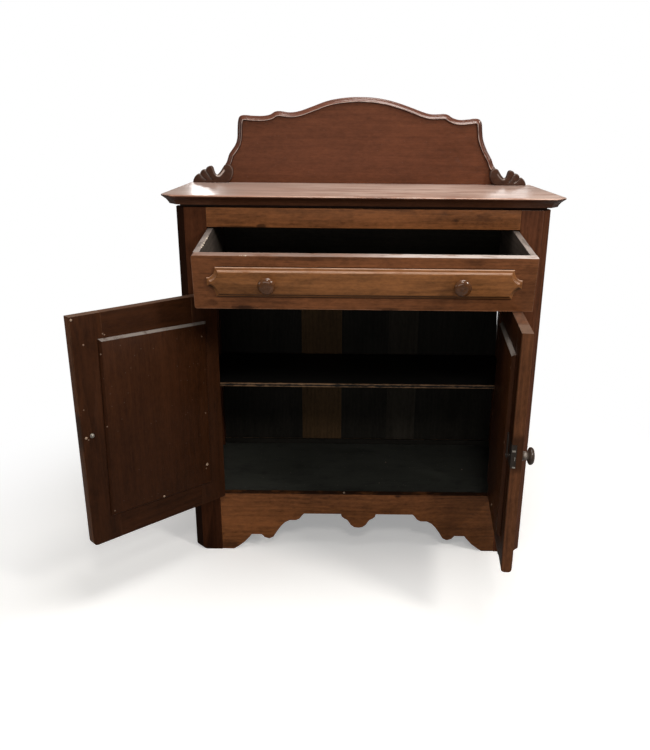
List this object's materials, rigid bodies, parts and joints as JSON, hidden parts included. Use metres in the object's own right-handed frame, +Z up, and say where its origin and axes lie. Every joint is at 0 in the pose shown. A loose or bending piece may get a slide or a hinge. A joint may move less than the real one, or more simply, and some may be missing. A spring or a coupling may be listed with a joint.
{
  "type": "commode cabinet",
  "caption": "Low wooden cabinet with a drawer over framed doors, a shelf inside, a scrolled apron and a shaped splashback.",
  "frame": {"origin": "on the floor, at the wall line (the plane of the back boards) and midway across", "axes": "+X to the right as seen from the front, +Y towards the wall, +Z up; the doors and the drawer face -Y"},
  "size_m": [1.1355, 0.7751, 1.2018],
  "materials": {
    "top_finish": "polished",
    "splash_finish": "polished",
    "carved_ear_finish": "polished",
    "front_finish": "varnished",
    "post_finish": "varnished",
    "door_finish": "varnished",
    "knob_finish": "polished",
    "drawer_wood": "bare",
    "shelf_wood": "bare",
    "inside_wood": "bare and darkened",
    "back_wood": "bare and darkened",
    "back_wood_light": "bare",
    "floor_wood": "bare and dusty",
    "dark_wood": "stained dark",
    "roller_wood": "bare",
    "aged_brass": "dulled",
    "worn_steel": "worn",
    "dark_iron": "dark"
  },
  "bodies": {
    "carcass": {"apron": "front_finish", "back_board_1": "back_wood", "back_board_2": "back_wood_light", "back_board_3": "back_wood", "back_board_4": "back_wood_light", "back_board_5": "back_wood", "bottom_board": "floor_wood", "divider_rail": "front_finish", "drawer_guide_left": "inside_wood", "drawer_guide_right": "inside_wood", "drawer_runner_left": "inside_wood", "drawer_runner_right": "inside_wood", "frieze_rail": "front_finish", "front_post_left": "post_finish", "front_post_right": "post_finish", "left_lower_frame_leaf": "aged_brass", "left_upper_frame_leaf": "aged_brass", "rear_bottom_rail": "inside_wood", "rear_post_left": "dark_wood", "rear_post_right": "dark_wood", "right_lower_frame_leaf": "aged_brass", "right_upper_frame_leaf": "aged_brass", "scroll_ear_left": "carved_ear_finish", "scroll_ear_right": "carved_ear_finish", "shelf": "shelf_wood", "shelf_bearer_left": "inside_wood", "shelf_bearer_right": "inside_wood", "side_panel_left": "post_finish", "side_panel_right": "post_finish", "splash_bead": "splash_finish", "splash_panel": "splash_finish", "top_board": "top_finish", "top_packing": "dark_wood"},
    "left_door": {"catch_stud": "worn_steel", "left_bottom_rail": "door_finish", "left_door_panel": "door_finish", "left_hinge_stile": "door_finish", "left_lower_door_leaf": "aged_brass", "left_meeting_stile": "door_finish", "left_top_rail": "door_finish", "left_upper_door_leaf": "aged_brass"},
    "right_door": {"catch_block": "dark_iron", "right_bottom_rail": "door_finish", "right_door_panel": "door_finish", "right_hinge_stile": "door_finish", "right_lower_door_leaf": "aged_brass", "right_meeting_stile": "door_finish", "right_top_rail": "door_finish", "right_upper_door_leaf": "aged_brass"},
    "catch": {"catch_tongue": "worn_steel", "right_door_knob": "knob_finish"},
    "drawer_tip_roller": {"divider_roller": "roller_wood"},
    "drawer": {"drawer_back": "inside_wood", "drawer_bottom": "inside_wood", "drawer_front": "front_finish", "drawer_front_panel": "front_finish", "drawer_knob_left": "knob_finish", "drawer_knob_right": "knob_finish", "drawer_side_left": "drawer_wood", "drawer_side_right": "drawer_wood"}
  },
  "joints": [
    {"name": "left_door_hinge", "type": "hinge", "parent": "carcass", "child": "left_door", "pos_m": [-0.37925, -0.399, 0.459], "axis": [0, 0, -1], "range_deg": [-135.8, 34]},
    {"name": "right_door_hinge", "type": "hinge", "parent": "carcass", "child": "right_door", "pos_m": [0.37925, -0.399, 0.459], "axis": [0, 0, 1], "range_deg": [-84.6, 85]},
    {"name": "catch_turn", "type": "hinge", "parent": "right_door", "child": "catch", "pos_m": [0.34199, -0.75067, 0.4585], "axis": [0.9956, -0.0941, 0], "range_deg": [0, 90]},
    {"name": "drawer_tip", "type": "hinge", "parent": "carcass", "child": "drawer_tip_roller", "pos_m": [0, -0.3905, 0.7635], "axis": [1, 0, 0], "range_deg": [-7.75, 0]},
    {"name": "drawer_slide", "type": "slide", "parent": "drawer_tip_roller", "child": "drawer", "axis": [0, -0.9909, -0.1349], "range_m": [-0.199, 0]}
  ],
  "couplings": [
    {"joint": "drawer_tip", "follows": "drawer_slide", "rad_per_m": 0.6797}
  ]
}
